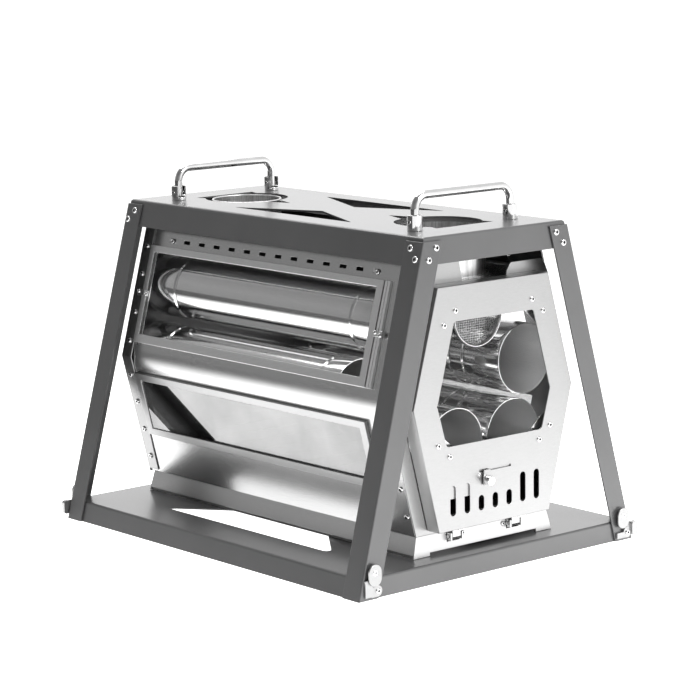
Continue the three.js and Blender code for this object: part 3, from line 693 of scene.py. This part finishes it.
# ------------------------------------------------------------------ the stowed flue parts
PIPE_WALL = 1.2
GROOVE = (      # a rolled bead: places along the tube and how far each lies off its surface
    (-3.4, 0), (-2.4, 0), (-1.6, -0.5), (-0.8, -0.9), (0, -1.0),
    (0.8, -0.9), (1.6, -0.5), (2.4, 0), (3.4, 0),
)
STOWED = (      # node, x and z of the axis, radius, two ends along Y, and the beads along Y
    ("pipe_short", -36, 135.6, 38.5, -228, -136.5, (-172,)),
    ("pipe_lower_right", 47, 135, 38.5, -228, 122, (-172, -150, 92)),
    ("pipe_upper_right", 64, 214.4, 38.5, -228, 122, (-172, -150, 92)),
    ("pipe_lower_left", -86, 183, 38.5, -134, 224, (-104, 168)),
    ("pipe_upper_left", -67.5, 262, 36.1, -216, 224, (-139, 168)),
)
ARRESTOR_AXIS = (3.5, 268)
ARRESTOR_RADIUS = 34.2
ARRESTOR_ENDS = (-221.5, -120)
SCREEN_RADIUS = 32
SCREEN_Y = -209.5
WIRE_PITCH, WIRE_RADIUS, WIRE_WAVE, WIRE_LAYER = 2.6, 0.35, 0.25, 0.5


def tube_profile(radius, y0, y1, beads):
    """The section of a rolled tube: eased rims and a shallow rolled bead at each place given."""
    bore, ease = radius - PIPE_WALL, 0.3
    profile = [(bore, y0 + 0.5), (bore + ease, y0), (radius - ease, y0), (radius, y0 + 0.5)]
    for y in beads:
        profile += [(radius + off, y + along) for along, off in GROOVE]
    profile += [(radius, y1 - 0.5), (radius - ease, y1), (bore + ease, y1), (bore, y1 - 0.5)]
    return profile


def build_stowed():
    for node, x, z, radius, y0, y1, beads in STOWED:
        lathe_y(node, tube_profile(radius, y0, y1, beads), (x, z), "pipe_inside")
    build_arrestor()


def build_arrestor():
    """The spark arrestor: a short tube with a raised rim, and a woven screen across it."""
    r = ARRESTOR_RADIUS
    y0, y1 = ARRESTOR_ENDS
    lathe_y("spark_arrestor", [
        (r - 1.2, y0 + 0.6), (r - 0.8, y0), (r - 0.2, y0), (r, y0 + 0.6), (r, y0 + 5),
        (r - 0.7, y0 + 6), (r - 0.7, y1 - 0.5), (r - 1.9, y1 - 0.5), (r - 1.9, y0 + 7),
    ], ARRESTOR_AXIS)
    bm = bmesh.new()
    count = int(SCREEN_RADIUS / WIRE_PITCH)
    for i in range(-count, count + 1):
        for turned in (False, True):
            add_wire(bm, i * WIRE_PITCH, turned)
    piece_from(bm, "arrestor_screen", ROOT, "pipe_steel", "mesh", 60)


def add_wire(bm, off, turned):
    """One wavy wire of the screen at a distance from the axis, across the bore or up it."""
    steps = 8
    half = math.sqrt(SCREEN_RADIUS * SCREEN_RADIUS - off * off)
    x, z = ARRESTOR_AXIS
    y = SCREEN_Y + (WIRE_LAYER if turned else 0)
    rings = []
    for k in range(steps * 2 + 1):
        t = -half + half * k / steps
        wave = WIRE_WAVE * math.cos(math.pi * k)
        ring = []
        for a in range(4):
            angle = math.pi / 4 + a * math.pi / 2
            du, dy = WIRE_RADIUS * math.cos(angle), WIRE_RADIUS * math.sin(angle)
            px, pz = (x + off + du, z + t) if turned else (x + t, z + off + du)
            ring.append((px * MM, (y + dy + wave) * MM, pz * MM))
        rings.append(ring)
    add_rings(bm, rings, Matrix.Identity(4))


# ------------------------------------------------------------------ the door
DOOR_FACE_Y = -249.5
DOOR_LOW, DOOR_HIGH = 50, 308
DOOR_SCREWS = ((55, 282), (71, 268), (80.6, 143), (64.5, 129.4))     # x and z
DOOR_SCREW = 3.1


def build_door():
    def pan_fold(v):
        at_edge = abs(v.z - DOOR_LOW) < 1 or abs(v.z - DOOR_HIGH) < 1 or abs(v.x) > 79
        return at_edge and v.y < DOOR_FACE_Y + 0.3

    refined("door_pan", "satin_steel", "end_shaded_sheet", folds=[(pan_fold, 1.2, 3)], width=0.25)
    dress("door_glass", "glass")
    for level in ("top", "bottom"):
        for word in ("left", "right"):
            refined(f"door_clip_{level}_{word}", "brushed_steel", width=0.3)
    refined("damper_plate", "satin_steel", "end_shaded_sheet", width=0.2)
    refined("damper_knob", "chrome", width=0.8, segments=3)
    refined("damper_guide", "brushed_steel", width=0.2)
    for word in ("left", "right"):
        refined(f"door_lug_{word}", "brushed_steel", width=0.2)
        refined(f"hinge_bracket_{word}", "brushed_steel", width=0.2)
        dress(f"hinge_pin_{word}", "brushed_steel")
    screws("door_screws", "door", [
        ((sx * x, DOOR_FACE_Y, z), (0, -1, 0), DOOR_SCREW)
        for sx in (-1, 1) for x, z in DOOR_SCREWS
    ])


# ------------------------------------------------------------------ light, floor, camera
FLOOR_GLOW = ((0.38, 1.2), (1.45, 0.6))          # distance in metres, and light given off
DARK_SIDE = (-0.75, 0.64, 0)
DARK_SHADE = ((0.92, 1.5), (1.0, 0.06))          # distance that way, and what is left of the floor
WORLD_RISE = ((0.0, 1.0), (0.3, 1.0), (0.6, 0.66), (1.0, 0.72))         # horizon to zenith
WORLD_ACROSS = ((0.0, 0.14), (0.35, 0.30), (0.62, 1.0), (1.0, 0.84))    # left to right
WORLD_STRENGTH = 1.4
FLOOR_SIZE = 30
AREA_LIGHTS = (     # name, place, target, size and power
    ("top_soft", (0.3, 0.8, 2.2), (0, 0, 0.2), (1.8, 1.8), 34),
    ("front_high", (0.5, -2.4, 1.9), (0, -0.2, 0.1), (1.2, 0.8), 56),
)
CAMERA_PLACE = (-1.9078, -2.2680, 0.7161)
CAMERA_TURN = (-40.269, 9.814, -0.886)           # yaw, downward pitch and roll, in degrees
CAMERA_LENS = 138.5


def studio_paper():
    """Pale paper that glows near the object.

    Far off on one side it is dark for everything but the camera, so that the steel has
    something dark to mirror.
    """
    g = Graph(bpy.data.materials.new("studio_paper"))
    paper = g.noise(3, 2.0)
    place = g.position((1, 1, 1))
    away = g.add("ShaderNodeVectorMath", operation="LENGTH")
    g.link(place, away.inputs[0])
    glow = g.map_range(away.outputs["Value"], *FLOOR_GLOW)
    sideways = g.add("ShaderNodeVectorMath", operation="DOT_PRODUCT")
    g.link(place, sideways.inputs[0])
    sideways.inputs[1].default_value = DARK_SIDE
    shade = g.map_range(sideways.outputs["Value"], *DARK_SHADE)
    seen = g.math("MAXIMUM", shade, g.add("ShaderNodeLightPath").outputs["Is Camera Ray"])
    tint = g.add("ShaderNodeVectorMath", operation="SCALE")
    g.link(g.ramp(paper, [(0.3, 0.78), (0.7, 0.80)]), tint.inputs[0])
    g.link(seen, tint.inputs["Scale"])
    g.set(
        Base_Color=tint.outputs[0],
        Roughness=0.9,
        Emission_Color=(1, 1, 1, 1),
        Emission_Strength=g.math("MULTIPLY", glow, seen),
    )
    return g.owner


def build_floor():
    bm = bmesh.new()
    bmesh.ops.create_grid(bm, x_segments=1, y_segments=1, size=FLOOR_SIZE)
    mesh = bpy.data.meshes.new("studio_floor")
    bm.to_mesh(mesh)
    bm.free()
    floor = bpy.data.objects.new("studio_floor", mesh)
    bpy.context.scene.collection.objects.link(floor)
    floor.data.materials.append(studio_paper())


def build_world():
    """A soft room that fades upwards and towards one side."""
    world = bpy.data.worlds.new("studio")
    bpy.context.scene.world = world
    g = Graph(world)
    direction = g.add("ShaderNodeSeparateXYZ")
    g.link(g.add("ShaderNodeTexCoord").outputs["Generated"], direction.inputs[0])
    across = g.math("MULTIPLY_ADD", direction.outputs["X"], 0.5, 0.5)
    blend = g.add("ShaderNodeMix", data_type="RGBA", blend_type="MULTIPLY")
    factor, first, second = (blend.inputs[i] for i in (0, 6, 7))
    factor.default_value = 1.0
    g.link(g.ramp(direction.outputs["Z"], WORLD_RISE), first)
    g.link(g.ramp(across, WORLD_ACROSS), second)
    background = g.tree.nodes["Background"]
    background.inputs["Strength"].default_value = WORLD_STRENGTH
    g.link(blend.outputs[2], background.inputs["Color"])


def build_lights():
    bpy.context.scene.view_settings.view_transform = "Standard"
    for name, place, target, size, power in AREA_LIGHTS:
        light = bpy.data.lights.new(name, "AREA")
        light.shape = "RECTANGLE"
        light.size, light.size_y = size
        light.energy = power
        obj = bpy.data.objects.new(name, light)
        obj.location = place
        look = Vector(target) - Vector(place)
        obj.rotation_euler = look.to_track_quat("-Z", "Y").to_euler()
        bpy.context.scene.collection.objects.link(obj)


def build_camera():
    yaw, pitch, roll = (math.radians(v) for v in CAMERA_TURN)
    level = Vector((math.cos(yaw), math.sin(yaw), 0))
    ahead = Vector((-math.sin(yaw), math.cos(yaw), 0))
    forward = math.cos(pitch) * ahead + Vector((0, 0, -math.sin(pitch)))
    up = level.cross(forward)
    right = math.cos(roll) * level + math.sin(roll) * up
    top = -math.sin(roll) * level + math.cos(roll) * up
    data = bpy.data.cameras.new("camera")
    data.sensor_width = 36
    data.lens = CAMERA_LENS
    data.clip_end = 50
    camera = bpy.data.objects.new("camera", data)
    basis = Matrix((right, top, -forward)).transposed().to_4x4()
    camera.matrix_world = Matrix.Translation(Vector(CAMERA_PLACE)) @ basis
    bpy.context.scene.collection.objects.link(camera)
    bpy.context.scene.camera = camera


build_rack()
build_rack_screws()
build_handles()
build_shell()
build_flue_rim()
build_shell_screws()
build_window_hardware()
build_stowed()
build_door()
build_floor()
build_world()
build_lights()
build_camera()
